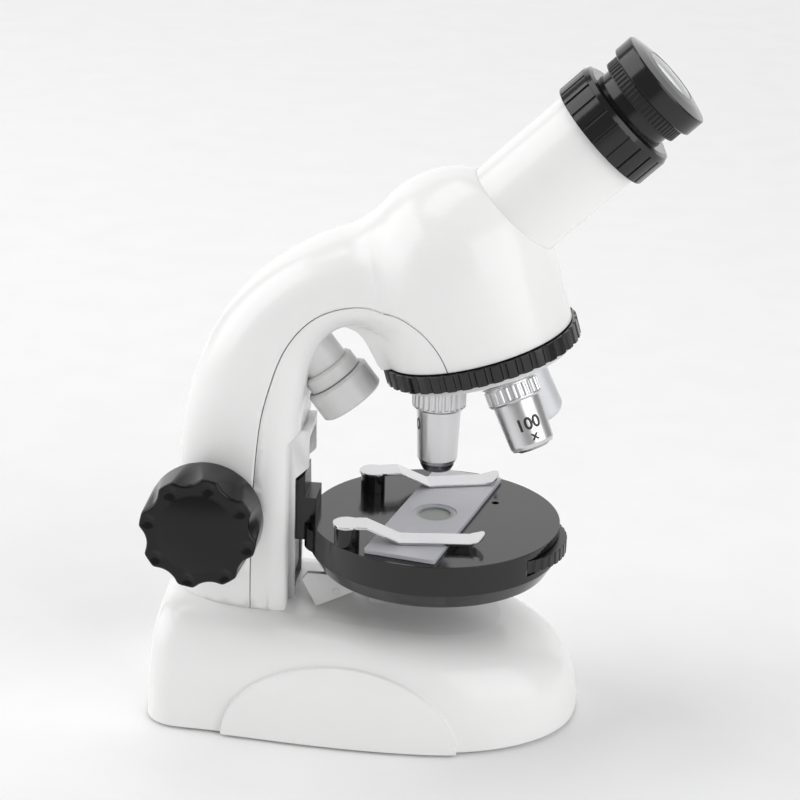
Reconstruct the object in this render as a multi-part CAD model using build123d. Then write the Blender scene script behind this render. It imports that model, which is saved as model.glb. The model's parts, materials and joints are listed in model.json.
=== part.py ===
"""Child's compound microscope: one solid or group of solids for each physical piece.

Millimetres, +Z up, +X from the arm towards the eyepiece, symmetric about Y = 0 apart from the stage fittings.
The model is laid out about the optical axis, then moved so that the origin is under the middle of its box.
"""

import os
from math import atan2, cos, hypot, pi, radians, sin, sqrt, tan

from build123d import *

# ---------------------------------------------------------------- driving dimensions
ORIGIN_X = -7.185         # middle of the box, measured from the optical axis
WALL = 2.2                # moulded shell thickness

FOOT_PROUD = 1.0          # rubber feet below the base rim
BASE_FRONT = 48.6
BASE_REAR = -90.0
BASE_REAR_BULGE = 0.8
BASE_HALF_W = 40.2
BASE_REAR_HALF_W = 35.5
BASE_TOP_Z = 33.6         # height of the top on the optical axis
BASE_TOP_SLOPE = 0.07     # the top falls towards the front

ARM_HALF_W = 20.0
COLUMN_FRONT_X = -46.0
ARM_FOOT_Z = 24.0         # arm section starts inside the base

RAIL_HALF_W = 9.5         # guide rails on the front of the column
RAIL_WALL = 2.2
RAIL_FRONT_X = -44.4
RAIL_NOSE_X = -40.2
RAIL_BOTTOM_Z = 36.0
RAIL_TOP_Z = 95.5

TURRET_TILT = 16.4        # degrees from the vertical
TURRET_X, TURRET_Z = 13.3, 121.5   # centre of the ring's lower edge
RING_R = 31.5
RING_H = 5.4
RING_RIBS = 40

HEAD_R = 30.0
HEAD_BOTTOM_T = 5.8       # along the turret axis, from the ring's lower edge
HEAD_DOME_T = 31.0        # centre of the dome

TUBE_TILT = 44.3          # degrees above the horizontal
COLLAR_X, COLLAR_Z = 54.3, 201.8   # centre of the collar's front face
TUBE_R = 16.7
COLLAR_R = 18.7
COLLAR_L = 11.6
COLLAR_RIBS = 22

KNOB_X, KNOB_Z = -71.1, 69.3
KNOB_R = 18.6
KNOB_BACK_Y = 21.4
KNOB_T = 15.6
KNOB_LOBES = 8
KNOB_TURN = 10.5          # degrees from +X to the first valley
FAR_KNOB_R = 16.0
KNOB_HOLLOW_R = 12.6
SCALLOP_R, SCALLOP_OUT, SCALLOP_TILT = 7.4, 5.2, 10.0
SHAFT_R = 3.0
SHAFT_HALF_L = 33.0

GEAR_MODULE = 0.8
PINION_TEETH = 18
PINION_W = 8.0

STAGE_R = 40.3
STAGE_TOP_Z = 65.3
STAGE_WALL_BOTTOM_Z = 55.5
STAGE_BOTTOM_Z = 50.4
STAGE_BOTTOM_R = 37.2
STAGE_HOLE_R = 5.0
PLATE_T = 1.8

WHEEL_R = 24.4
WHEEL_X, WHEEL_Y = 18.5, -3.8
WHEEL_Z0, WHEEL_Z1 = 58.2, 62.4

SLIDE_L, SLIDE_W, SLIDE_T = 73.0, 23.3, 1.3
SLIDE_TURN = -12.7        # degrees about Z from lying along Y
SLIDE_GAP = 0.1

CLIP_T = 0.8
CLIP_W, CLIP_HEAD_R, CLIP_PIN_R = 8.2, 4.6, 1.6
POST_H = 6.3
NEAR_POST = (-25.4, -26.5)
FAR_POST = (-22.4, 18.5)
NEAR_CLIP_TURN = 7.0
FAR_CLIP_TURN = 16.0

LAMP_X, LAMP_Z = -33.2, 110.8      # centre of the lamp cap's rear face
LAMP_TILT = 52.7          # degrees below the horizontal
LAMP_CAP_R, LAMP_CAP_L = 10.8, 9.4
LAMP_MID_R, LAMP_MID_L = 9.0, 5.2
LAMP_STEM_R, LAMP_STEM_L = 7.4, 16.0

MIRROR_X, MIRROR_Z = -30.5, 43.6
MIRROR_TILT = 27.0
MIRROR_L, MIRROR_W, MIRROR_T = 14.0, 23.4, 2.0

PANEL_RISE = 1.8          # half-moon panel on each side of the base
PANEL_X, PANEL_HALF_L, PANEL_H = -25.5, 38.0, 26.0

COVER_T = 2.0             # base bottom cover
COVER_INSET = 2.6
LID_X, LID_L, LID_W, LID_T = -18.0, 62.0, 37.0, 1.6
TRAY_H = 16.5
CELL_R, CELL_L, CELL_Y, CELL_Z = 7.1, 49.5, 7.7, 10.6
FOOT_R = 5.0
FEET_XY = ((-62.0, 25.5), (-62.0, -25.5), (20.0, 27.5), (20.0, -27.5))
BOSS_XY = ((-76.0, 19.0), (-76.0, -19.0), (34.0, 12.0), (34.0, -12.0))
BOSS_R = 3.6
COLUMN_SCREW_XY = ((-77.6, 0.0), (-62.0, 15.2), (-62.0, -15.2))
SCREW_R, SCREW_HEAD_R, SCREW_HEAD_H = 1.5, 2.8, 1.5

BUSH_R = 5.5
BUSH_Y0, BUSH_Y1 = 12.0, 20.8

SOCKET_S = -54.0          # inner end of the eyepiece tube
TUBE_WALL = 1.8
DRAW_R, DRAW_WALL = 13.4, 1.4
GRIP_S0, GRIP_S1, GRIP_R = 4.1, 8.6, 15.1
CUP_S1, CUP_R = 14.9, 16.8
EYE_LENS_R = 9.0

PLATE_DROP = 2.0          # of the turret plate's rim below the ring's lower edge
PLATE_CONE = 7.6          # depth of the plate's cone, below its rim
PIVOT_HEAD_T = -6.8       # where the pivot screw's head sits
SEAT_S = 6.25             # where an objective's collar meets the plate, below the ring's lower edge
FLUTE_S = 7.4             # where the collar's flutes start
COLLAR_FLUTES = 26

RECESS_HALF_W = RAIL_HALF_W - RAIL_WALL
SLIDER_HALF_W = RECESS_HALF_W - 0.4

SEAM_GAP = 0.3            # between the arm shell and its front cover, along their side seam
FIT = 0.05                # radial clearance of a running fit
GAP = 0.3                 # gap between curved faces of different bodies


# ---------------------------------------------------------------- frames and helpers
def axis_plane(x, z, dx, dz, y=0.0):
    """Plane at (x, y, z) whose normal lies in XZ along (dx, dz) and whose local Y is the model's Y."""
    normal = Vector(dx, 0, dz).normalized()
    return Plane(origin=(x, y, z), x_dir=Vector(0, 1, 0).cross(normal), z_dir=normal)


def revolve_profile(points, plane):
    """Solid of revolution about the plane's normal from (radius, height) points."""
    face = Plane.XZ * make_face(Polyline(*points, close=True))
    return plane * revolve(face, Axis.Z, 360)


def tube(r_out, r_in, length, plane):
    ring = Circle(r_out) - Circle(r_in) if r_in > 0 else Circle(r_out)
    return plane * extrude(ring, length)


def prism_xz(points, y0, y1):
    """Polygon given as (x, z) points, extruded from y0 to y1."""
    face = make_face(Polyline(*[(x, z) for x, z in points], close=True))
    return Plane((0, y1, 0), x_dir=(1, 0, 0), z_dir=(0, -1, 0)) * extrude(face, y1 - y0)


turret_tilt = radians(TURRET_TILT)
TURRET_UP = (-sin(turret_tilt), cos(turret_tilt))


def turret_plane(t=0.0):
    """Plane across the turret axis, t above the ring's lower edge."""
    return axis_plane(TURRET_X + TURRET_UP[0] * t, TURRET_Z + TURRET_UP[1] * t, *TURRET_UP)


tube_tilt = radians(TUBE_TILT)
TUBE_DIR = (cos(tube_tilt), sin(tube_tilt))


def eye_plane(s=0.0):
    """Plane across the eyepiece axis, s beyond the collar's front face."""
    return axis_plane(COLLAR_X + TUBE_DIR[0] * s, COLLAR_Z + TUBE_DIR[1] * s, *TUBE_DIR)


lamp_tilt = radians(LAMP_TILT)
LAMP_DIR = (cos(lamp_tilt), -sin(lamp_tilt))


def lamp_plane(s=0.0):
    """Plane across the lamp axis, s beyond the rear face of its cap."""
    return axis_plane(LAMP_X + LAMP_DIR[0] * s, LAMP_Z + LAMP_DIR[1] * s, *LAMP_DIR)


# ---------------------------------------------------------------- base
def base_top_z(x):
    return BASE_TOP_Z - BASE_TOP_SLOPE * x


def base_section(share, front_in, side_in, rear_in, drop=0.0):
    """Closed outline at a share of the height, pulled in by three insets, on a plane tilted like the top."""
    front = BASE_FRONT - front_in
    rear = BASE_REAR + rear_in
    half = BASE_HALF_W - side_in
    rear_half = BASE_REAR_HALF_W - side_in
    bend = -4.0
    corner = 0.42 * rear_half
    points = []
    for k in range(7):
        a = radians(90.0 * k / 6)
        points.append((bend + (front - bend) * cos(a) ** 0.96, half * sin(a) ** 0.96))
    points.append((bend - 0.45 * (bend - rear - corner), half - 0.22 * (half - rear_half)))
    for k in range(5):
        a = radians(90.0 * k / 4)
        points.append((rear + corner - corner * sin(a) ** 0.8, rear_half - corner + corner * cos(a) ** 0.8))
    points.append((rear - BASE_REAR_BULGE, 0.0))
    mirrored = [(x, -y) for x, y in reversed(points[1:-1])]
    bottom = FOOT_PROUD
    outline = []
    for x, y in points + mirrored:
        outline.append(Vector(x, y, bottom + share * (base_top_z(x) - drop - bottom)))
    return Face(Wire(Spline(*outline, periodic=True).edges()))


BASE_SECTIONS = (          # share of height, front inset, side inset, rear inset
    (0.00, 0.0, 0.0, 0.0),
    (0.25, 0.3, 0.3, 0.2),
    (0.50, 2.2, 1.2, 0.7),
    (0.70, 6.0, 3.0, 1.6),
    (0.85, 11.5, 6.2, 3.0),
    (0.95, 18.0, 11.0, 5.5),
    (1.00, 26.0, 18.0, 10.0),
)


def base_block(inset=0.0, drop=0.0):
    sections = []
    for share, front_in, side_in, rear_in in BASE_SECTIONS:
        sections.append(base_section(share, front_in + inset, side_in + inset, rear_in + inset, drop))
    return Solid.make_loft([face.outer_wire() for face in sections])


# ---------------------------------------------------------------- arm and head
ARM_STATIONS = (           # outer (x, z) and inner (x, z) ends of each section
    ((-83.0, 68.0), (-42.6, 68.0)),
    ((-83.0, 84.0), (-42.6, 84.0)),
    ((-80.8, 100.5), (-42.4, 99.0)),
    ((-76.2, 117.0), (-41.4, 111.0)),
    ((-68.8, 131.6), (-39.5, 120.2)),
    ((-58.2, 144.2), (-35.4, 127.6)),
    ((-44.4, 154.4), (-29.8, 131.8)),
    ((-27.4, 161.6), (-22.4, 132.9)),
    ((-8.0, 165.6), (-12.0, 131.0)),
)
SEAM_POINTS = (            # side seam between the arm shell and its front cover
    (-57.1, 20.0),
    (-57.2, 54.0),
    (-56.7, 75.0),
    (-55.5, 92.0),
    (-54.0, 103.6),
    (-51.2, 114.4),
    (-48.2, 123.1),
    (-43.6, 130.9),
    (-37.5, 136.8),
    (-29.9, 140.2),
    (-22.5, 141.3),
    (-14.3, 140.5),
    (-5.7, 137.6),
    (0.4, 132.4),
    (4.6, 125.2),
    (6.4, 117.0),
)


def arm_section(outer, inner, half_w, inset, corner_r=9.0):
    """Rounded back, straight sides and rounded front corners, across the arm."""
    depth_dir = (Vector(inner[0], 0, inner[1]) - Vector(outer[0], 0, outer[1]))
    depth = depth_dir.length - 2 * inset
    along = depth_dir.normalized()
    origin = Vector(outer[0], 0, outer[1]) + along * inset
    half = half_w - inset
    back = min(26.0, depth - 11.0)
    corner = corner_r - 0.6 * inset

    def at(u, v):
        return origin + along * u + Vector(0, v, 0)

    back_points = []
    for k in range(-6, 7):
        a = radians(90.0 * k / 6)
        side = half if a >= 0 else -half
        back_points.append(at(back * (1 - cos(a) ** 0.85), side * abs(sin(a)) ** 0.85))
    side_end = depth - corner
    tip = corner * (1 - cos(pi / 4))
    edges = [
        Spline(*back_points, tangents=[-along, along]),
        Line(at(back, half), at(side_end, half)),
        ThreePointArc(at(side_end, half), at(depth - tip, half - tip), at(depth, half - corner)),
        Line(at(depth, half - corner), at(depth, corner - half)),
        ThreePointArc(at(depth, corner - half), at(depth - tip, tip - half), at(side_end, -half)),
        Line(at(side_end, -half), at(back, -half)),
    ]
    return Wire(edges)


def arch_block(inset=0.0):
    """Upright foot and arch in one sweep."""
    (back, _), (front, start) = ARM_STATIONS[0]
    bottom = ARM_FOOT_Z if inset == 0 else ARM_FOOT_Z - 4.0
    foot = [((back, z), (front, z)) for z in (bottom, (bottom + start) / 2)]
    stations = foot + list(ARM_STATIONS)
    return Solid.make_loft([arm_section(outer, inner, ARM_HALF_W, inset) for outer, inner in stations])


HOOD_LINE = ((COLUMN_FRONT_X, 93.1), (-40.0, 98.4))     # slanted step from the column up to the arch


WEB_HALF_W = 13.0
WEB = (                    # fills the corner between the arch and the drum of the head
    (-32.0, 146.0),
    (-32.0, 131.9),
    (-28.8, 132.2),
    (-25.4, 131.0),
    (-23.0, 128.9),
    (-21.2, 126.4),
    (-19.9, 123.9),
    (-18.6, 120.5),
    (-17.2, 118.8),
    (-5.0, 121.0),
    (-5.0, 146.0),
)


def hood_cut(shift=0.0):
    """Material in front of the column, below the slanted step; a shift moves the cut back and up."""
    (x0, z0), (x1, z1) = HOOD_LINE
    low = z0 + shift
    high = z1 + shift
    bottom = ARM_FOOT_Z - 10.0
    outline = [(x0 - shift, bottom), (x0 - shift, low), (x1 - shift, high), (-30, high), (-30, bottom)]
    return prism_xz(outline, -40, 40)


def body_block(inset=0.0):
    """Arm and head in one; an inset block is the hollow inside them."""
    whole = (arch_block(inset) - hood_cut(inset)) + head_block(inset)
    return whole + prism_xz(WEB, -WEB_HALF_W, WEB_HALF_W) if inset == 0 else whole


def head_block(inset=0.0):
    """Upright drum with a hemispherical top, about the turret axis."""
    r = HEAD_R - inset
    low = HEAD_BOTTOM_T - inset
    profile = make_face([
        Line((0, low), (r, low)),
        Line((r, low), (r, HEAD_DOME_T)),
        ThreePointArc((r, HEAD_DOME_T), (r / sqrt(2), HEAD_DOME_T + r / sqrt(2)), (0, HEAD_DOME_T + r)),
        Line((0, HEAD_DOME_T + r), (0, low)),
    ])
    return turret_plane() * revolve(Plane.XZ * profile, Axis.Z, 360)


def seam_prism(shrink=0.0):
    """Everything on the inner side of the seam, as a prism through the arm."""
    points = []
    for k, (x, z) in enumerate(SEAM_POINTS):
        before, after = SEAM_POINTS[max(k - 1, 0)], SEAM_POINTS[min(k + 1, len(SEAM_POINTS) - 1)]
        along = hypot(after[0] - before[0], after[1] - before[1])
        step = shrink / along
        points.append((x + step * (after[1] - before[1]), z - step * (after[0] - before[0])))
    curve = Spline(*points)
    first, last = points[0], points[-1]
    border = [Line(last, (last[0], 5.0)), Line((last[0], 5.0), (first[0], 5.0)), Line((first[0], 5.0), first)]
    face = make_face([curve] + border)
    return Plane((0, 40, 0), x_dir=(1, 0, 0), z_dir=(0, -1, 0)) * extrude(face, 80)


# ---------------------------------------------------------------- base pieces
def half_moon(y0, y1):
    """Half ellipse standing on the base's lower edge, as a prism along Y."""
    points = []
    for k in range(25):
        a = radians(180.0 * k / 24)
        points.append((PANEL_X + PANEL_HALF_L * cos(a), FOOT_PROUD + PANEL_H * sin(a)))
    face = make_face([Spline(*points), Line(points[-1], points[0])])
    return Plane((0, y1, 0), x_dir=(1, 0, 0), z_dir=(0, -1, 0)) * extrude(face, y1 - y0)


def post(r, x, y, z0, z1):
    return Pos(x, y, (z0 + z1) / 2) * Cylinder(r, z1 - z0)


def box(x0, x1, y0, y1, z0, z1):
    return Pos((x0 + x1) / 2, (y0 + y1) / 2, (z0 + z1) / 2) * Box(x1 - x0, y1 - y0, z1 - z0)


def screw(length, head_r=SCREW_HEAD_R, head_h=SCREW_HEAD_H, shank_r=SCREW_R):
    """Cross-head screw along +Z: head below z = 0, shank above."""
    body = post(head_r, 0, 0, -head_h, 0) + post(shank_r, 0, 0, 0, length)
    for size in ((head_r, 0.35), (0.35, head_r)):
        body -= box(-size[0] * 0.6, size[0] * 0.6, -size[1] * 0.6, size[1] * 0.6, -head_h, -head_h + 0.7)
    return body


def make_base_shell(outer):
    hollow = base_block(COVER_INSET, WALL)
    hollow += Solid.extrude(base_section(0.0, COVER_INSET, COVER_INSET, COVER_INSET), Vector(0, 0, -3.0))
    shell = outer - hollow
    bulge = base_block(-PANEL_RISE, 0.0) - base_block(WALL / 2, 0.0)
    shell += bulge & half_moon(-60.0, -20.0)
    shell += bulge & half_moon(20.0, 60.0)
    inner = base_block(WALL / 2, WALL / 2)
    floor_z = FOOT_PROUD + COVER_T
    for x, y in BOSS_XY:
        shell += post(BOSS_R, x, y, floor_z, 50.0) & inner
        shell -= post(SCREW_R, x, y, floor_z - 1, floor_z + 11.0)
    for x, y in COLUMN_SCREW_XY:
        shell -= post(SCREW_R, x, y, 25.0, 50.0)
    return shell - box(-72, -56, -9, 9, 20, 50)


def make_base_cover():
    z0 = FOOT_PROUD
    z1 = z0 + COVER_T
    cover = box(-95, 55, -45, 45, z0, z1) & base_block(COVER_INSET + FIT, 0.0)
    cover -= box(LID_X - LID_L / 2, LID_X + LID_L / 2, -LID_W / 2, LID_W / 2, z0, z1)
    for x, y in BOSS_XY:
        cover -= post(SCREW_HEAD_R + 0.2, x, y, z0, z0 + SCREW_HEAD_H)
        cover -= post(SCREW_R, x, y, z0, z1)
    for x, y in FEET_XY:
        cover -= post(FOOT_R, x, y, z0, z0 + 0.7)
    return cover


def make_battery_pieces():
    """Lid, its screw, tray, cells and contacts."""
    z0 = FOOT_PROUD
    half_l, half_w = LID_L / 2, LID_W / 2
    lid = box(LID_X - half_l + GAP, LID_X + half_l - GAP, GAP - half_w, half_w - GAP, z0, z0 + LID_T)
    for k in range(5):
        x = LID_X - half_l + 6 + 2.2 * k
        lid -= box(x, x + 1.0, -8, 8, z0, z0 + 0.5)
    screw_x = LID_X + half_l - 4.5
    lid -= post(SCREW_R, screw_x, 0, z0, z0 + LID_T)
    lid -= post(SCREW_HEAD_R, screw_x, 0, z0, z0 + 0.9)
    lid_screw = Pos(screw_x, 0, z0 + 0.9) * screw(5.0, SCREW_HEAD_R, 0.8, SCREW_R)
    floor_z = z0 + COVER_T
    tray = box(LID_X - half_l - 2, LID_X + half_l + 2, -half_w - 2, half_w + 2, floor_z, floor_z + TRAY_H)
    cell_x = LID_X - 3.0
    cavity_l = CELL_L / 2 + 2.6
    tray -= box(cell_x - cavity_l, cell_x + cavity_l, -16, 16, floor_z, floor_z + TRAY_H - 1.6)
    tray -= post(SCREW_R + 0.4, screw_x, 0, floor_z, floor_z + 6)
    cells = []
    contacts = []
    for sign in (1, -1):
        end = (cell_x - sign * CELL_L / 2, sign * CELL_Y, CELL_Z)
        along = Plane(end, x_dir=(0, 0, 1), z_dir=(sign, 0, 0))
        can = along * (Pos(0, 0, (CELL_L - 1.2) / 2) * Cylinder(CELL_R, CELL_L - 1.2))
        nub = along * (Pos(0, 0, CELL_L - 0.6) * Cylinder(2.7, 1.2))
        cells.append(can + nub)
        plate = Pos(0, 0, CELL_L + 0.3) * Box(9, 9, 0.6)
        contacts.append(along * plate)
        coil = Pos(0, 0, -1.3) * (Cylinder(4.0, 2.6) - Cylinder(3.2, 2.6))
        contacts.append(along * coil)
    return {
        "battery_lid": lid,
        "battery_lid_screw": lid_screw,
        "battery_tray": tray,
        "battery_cells": cells,
        "battery_contacts": contacts,
    }


MIRROR_CHEEK = (           # side plate of the mirror's holder, in XZ
    (-36.5, 36.9),
    (-41.2, 46.0),
    (-39.4, 48.4),
    (-15.0, 48.4),
    (-15.0, 47.6),
)


def make_light_mirror(outer):
    """Tilting mirror under the stage, and the holder whose cheeks take its pins."""
    tilt = radians(MIRROR_TILT)
    plane = axis_plane(MIRROR_X, MIRROR_Z, -sin(tilt), cos(tilt))
    cheek_in = MIRROR_W / 2 + GAP
    cheek_t = 1.8
    plate = extrude(RectangleRounded(MIRROR_L, MIRROR_W, 1.6), -MIRROR_T)
    pocket = extrude(RectangleRounded(MIRROR_L - 3.0, MIRROR_W - 3.0, 1.0), -1.2)
    pins = Pos(0, 0, -1.0) * (Rot(90, 0, 0) * Cylinder(1.0, 2 * (cheek_in + cheek_t)))
    pins -= Pos(0, 0, -1.0) * Box(MIRROR_L, MIRROR_W - 1.5, 4.0)
    holder = None
    for y0 in (-cheek_in - cheek_t, cheek_in):
        cheek = prism_xz(MIRROR_CHEEK, y0, y0 + cheek_t)
        holder = cheek if holder is None else holder + cheek
    holder += box(-20.5, -15.0, -cheek_in - cheek_t, cheek_in + cheek_t, 46.4, 48.4)
    holder += box(-20.5, -15.0, -4.0, 4.0, 30.0, 47.0)
    holder -= plane * (Pos(0, 0, -1.0) * (Rot(90, 0, 0) * Cylinder(1.0 + FIT, 60)))
    return {
        "light_mirror_frame": plane * (plate + pins - pocket),
        "light_mirror_glass": plane * pocket,
        "light_mirror_holder": holder - outer,
    }


# ---------------------------------------------------------------- arm pieces
def make_arm_pieces(base_outer):
    body = body_block()
    shell = body - body_block(WALL)
    shell -= tube(TUBE_R, 0, -SOCKET_S + 10, eye_plane(SOCKET_S))
    shell -= tube(LAMP_STEM_R, 0, LAMP_STEM_L, lamp_plane(-LAMP_MID_L - LAMP_STEM_L))
    shell -= tube(LAMP_MID_R, 0, LAMP_MID_L, lamp_plane(-LAMP_MID_L))
    front = seam_prism()
    back_shell = (shell - front) - base_outer
    for x, y in COLUMN_SCREW_XY:
        boss = post(BOSS_R, x, y, 30.0, 55.0) & body_block(WALL / 2)
        back_shell += boss - base_outer
        back_shell -= post(SCREW_R, x, y, 30.0, 50.0)
    side = Plane((KNOB_X, -40, KNOB_Z), x_dir=(1, 0, 0), z_dir=(0, 1, 0))
    back_shell -= tube(BUSH_R, 0, 80, side)
    rails = prism_xz([
        (-59.8, RAIL_BOTTOM_Z - 4), (RAIL_FRONT_X, RAIL_BOTTOM_Z - 4), (RAIL_FRONT_X, 79.0),
        (RAIL_NOSE_X, 83.0), (RAIL_NOSE_X, RAIL_TOP_Z), (-59.8, RAIL_TOP_Z),
    ], -RAIL_HALF_W, RAIL_HALF_W)
    cover = (shell & seam_prism(SEAM_GAP)) + rails
    cover -= box(-57.6, -30, -RECESS_HALF_W, RECESS_HALF_W, 40.0, 92.5)
    cover -= box(-62, -55, -3.5, 3.5, 40.0, 92.5)
    return {"arm_head_shell": back_shell, "arm_front_cover": cover - base_outer}


# ---------------------------------------------------------------- rack, pinion and knobs
def make_pinion():
    """Involute spur gear about local Z, centred on z = 0, with a tooth space on +X."""
    pitch_r = GEAR_MODULE * PINION_TEETH / 2
    base_r = pitch_r * cos(radians(20))
    tip_r = pitch_r + GEAR_MODULE
    root_r = pitch_r - 1.25 * GEAR_MODULE
    flank = []
    for k in range(7):
        r = base_r + (tip_r - base_r) * k / 6
        roll = sqrt(max(r * r / (base_r * base_r) - 1, 0.0))
        flank.append((r, roll - atan2(roll, 1.0)))
    at_pitch = sqrt(pitch_r ** 2 / base_r ** 2 - 1)
    half_tooth = pi / (2 * PINION_TEETH) - 0.010 + at_pitch - atan2(at_pitch, 1.0)
    points = []
    for n in range(PINION_TEETH):
        middle = 2 * pi * (n + 0.5) / PINION_TEETH
        points.append((root_r, middle - half_tooth))
        points += [(r, middle - half_tooth + turn) for r, turn in flank]
        points += [(r, middle + half_tooth - turn) for r, turn in reversed(flank)]
        points.append((root_r, middle + half_tooth))
    outline = make_face(Polyline(*[(r * cos(a), r * sin(a)) for r, a in points], close=True))
    gear = extrude(outline, PINION_W / 2, both=True)
    hub = Cylinder(5.2, PINION_W + 4)
    return gear + hub - Cylinder(SHAFT_R, PINION_W + 4)


def make_rack(z0, z1):
    """Rack facing -X whose teeth mesh with the pinion at KNOB_Z."""
    pitch = pi * GEAR_MODULE
    line_x = KNOB_X + GEAR_MODULE * PINION_TEETH / 2
    root_x = line_x + 1.25 * GEAR_MODULE
    tip_x = line_x - GEAR_MODULE
    lean = tan(radians(20))
    half = pitch / 4 - 0.05
    first = int((z0 - KNOB_Z) / pitch) + 1
    last = int((z1 - KNOB_Z) / pitch) - 1
    points = [(root_x, z0)]
    for n in range(first, last + 1):
        z = KNOB_Z + n * pitch
        points.append((root_x, z - half - 1.25 * GEAR_MODULE * lean))
        points.append((tip_x, z - half + GEAR_MODULE * lean))
        points.append((tip_x, z + half - GEAR_MODULE * lean))
        points.append((root_x, z + half + 1.25 * GEAR_MODULE * lean))
    points += [(root_x, z1), (-60.4, z1), (-60.4, z0)]
    return prism_xz(points, -3.0, 3.0)


def knob(plane, r):
    """Eight-lobed knob standing on the given plane, hollow at the back round its hub."""
    t = KNOB_T
    dome_r, rim_h, crown_h = 0.72 * r, t - 0.4, t + 1.4
    centre_h = (crown_h + rim_h) / 2 - dome_r ** 2 / (2 * (crown_h - rim_h))
    half_h = centre_h + sqrt((crown_h - centre_h) ** 2 - (dome_r / 2) ** 2)
    profile = make_face([
        Line((0, 0), (r - 0.9, 0)),
        ThreePointArc((r - 0.9, 0), (r - 0.26, 0.26), (r, 0.9)),
        Line((r, 0.9), (r, rim_h - 1.0)),
        ThreePointArc((r, rim_h - 1.0), (r - 0.29, rim_h - 0.29), (r - 1.0, rim_h)),
        Line((r - 1.0, rim_h), (dome_r, rim_h)),
        ThreePointArc((dome_r, rim_h), (dome_r / 2, half_h), (0, crown_h)),
        Line((0, crown_h), (0, 0)),
    ])
    body = revolve(Plane.XZ * profile, Axis.Z, 360)
    scallop = Pos(r + SCALLOP_OUT, 0, t) * (Rot(0, -SCALLOP_TILT, 0) * Cylinder(SCALLOP_R, 40))
    dimple = Pos(r - 2.6, 0, t + 0.6) * Sphere(2.0)
    for k in range(KNOB_LOBES):
        body -= Rot(0, 0, KNOB_TURN + 360 * k / KNOB_LOBES) * scallop
    for k in range(KNOB_LOBES):
        body -= Rot(0, 0, KNOB_TURN + 360 * (k + 0.5) / KNOB_LOBES) * dimple
    body -= post(KNOB_HOLLOW_R, 0, 0, 0, t - 5.0) - post(6.0, 0, 0, 0, t - 5.0)
    body -= post(SHAFT_R, 0, 0, 0, SHAFT_HALF_L - KNOB_BACK_Y)
    return plane * body


def make_focus_pieces():
    centre = Plane((KNOB_X, 0, KNOB_Z), x_dir=(1, 0, 0), z_dir=(0, -1, 0))
    right = Plane((KNOB_X, -KNOB_BACK_Y, KNOB_Z), x_dir=(1, 0, 0), z_dir=(0, -1, 0))
    left = Plane((KNOB_X, KNOB_BACK_Y, KNOB_Z), x_dir=(1, 0, 0), z_dir=(0, 1, 0))
    bushes = []
    for sign in (1, -1):
        plane = Plane((KNOB_X, sign * BUSH_Y0, KNOB_Z), x_dir=(1, 0, 0), z_dir=(0, sign, 0))
        bushes.append(tube(BUSH_R, SHAFT_R + FIT, BUSH_Y1 - BUSH_Y0, plane))
    return {
        "focus_shaft": centre * Cylinder(SHAFT_R, 2 * SHAFT_HALF_L),
        "focus_pinion": centre * make_pinion(),
        "focus_knob_near": knob(right, KNOB_R),
        "focus_knob_far": knob(left, FAR_KNOB_R),
        "shaft_bushes": bushes,
    }


# ---------------------------------------------------------------- turret and objectives
TURRET_AXIS = Axis((TURRET_X, 0, TURRET_Z), (TURRET_UP[0], 0, TURRET_UP[1]))
OBJECTIVES = (             # name, collar, barrel and tip ends, barrel radii above and below, tip radius, turn
    ("working", 14.2, 32.6, 35.2, 7.0, 6.3, 5.65, 0.0),
    ("near", 12.6, 27.6, 28.4, 7.5, 6.9, 5.4, 120.0),
    ("far", 12.6, 30.6, 31.4, 7.5, 7.0, 5.5, 240.0),
)


def objective_plane():
    """Across the working objective's axis, where that axis meets the ring's lower edge; +Z is down."""
    return Plane((0, 0, TURRET_Z - TURRET_X * tan(turret_tilt)), x_dir=(1, 0, 0), z_dir=(0, 0, -1))


def make_turret_pieces():
    plane = turret_plane()
    ring = Pos(0, 0, RING_H / 2) * (Cylinder(RING_R, RING_H) - Cylinder(RING_R - 3.0, RING_H))
    groove = Pos(RING_R + 0.35, 0, RING_H / 2) * Cylinder(1.15, RING_H)
    for k in range(RING_RIBS):
        ring -= Rot(0, 0, 360 * k / RING_RIBS) * groove
    r = RING_R - 3.0
    slope = PLATE_CONE / r
    plate = revolve_profile([
        (0, -PLATE_CONE - PLATE_DROP), (r, -PLATE_DROP), (r, 2.2), (9.0, 2.2 - PLATE_CONE + slope * 9.0),
        (9.0, 3.0), (0, 3.0),
    ], plane)
    plate -= plane * (Pos(0, 0, -2.0) * Cylinder(4.0 + FIT, 30))
    plate -= plane * (Pos(0, 0, PIVOT_HEAD_T - 2.8) * Cylinder(6.6, 6.0))
    socket = objective_plane() * (Pos(0, 0, SEAT_S) * Cylinder(5.4, 12))
    for sizes in OBJECTIVES:
        plate -= socket.rotate(TURRET_AXIS, sizes[-1])
    bearing = Pos(0, 0, 9.1) * Cylinder(HEAD_R - WALL, 2.4) + Pos(0, 0, 6.8) * Cylinder(9.0, 3.0)
    bearing += Pos(0, 0, 0.75) * Cylinder(4.0, 15.1)
    bearing -= Pos(-11.5, 0, 9.0) * Cylinder(6.0, 8)
    bearing -= Cylinder(1.4, 60)
    bearing = plane * bearing
    pivot = turret_plane(PIVOT_HEAD_T) * screw(12.0, 6.0, 1.4, 1.4)
    return {
        "turret_ring": plane * ring,
        "turret_plate": plate,
        "turret_bearing": bearing,
        "turret_pivot_screw": pivot,
    }


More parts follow.
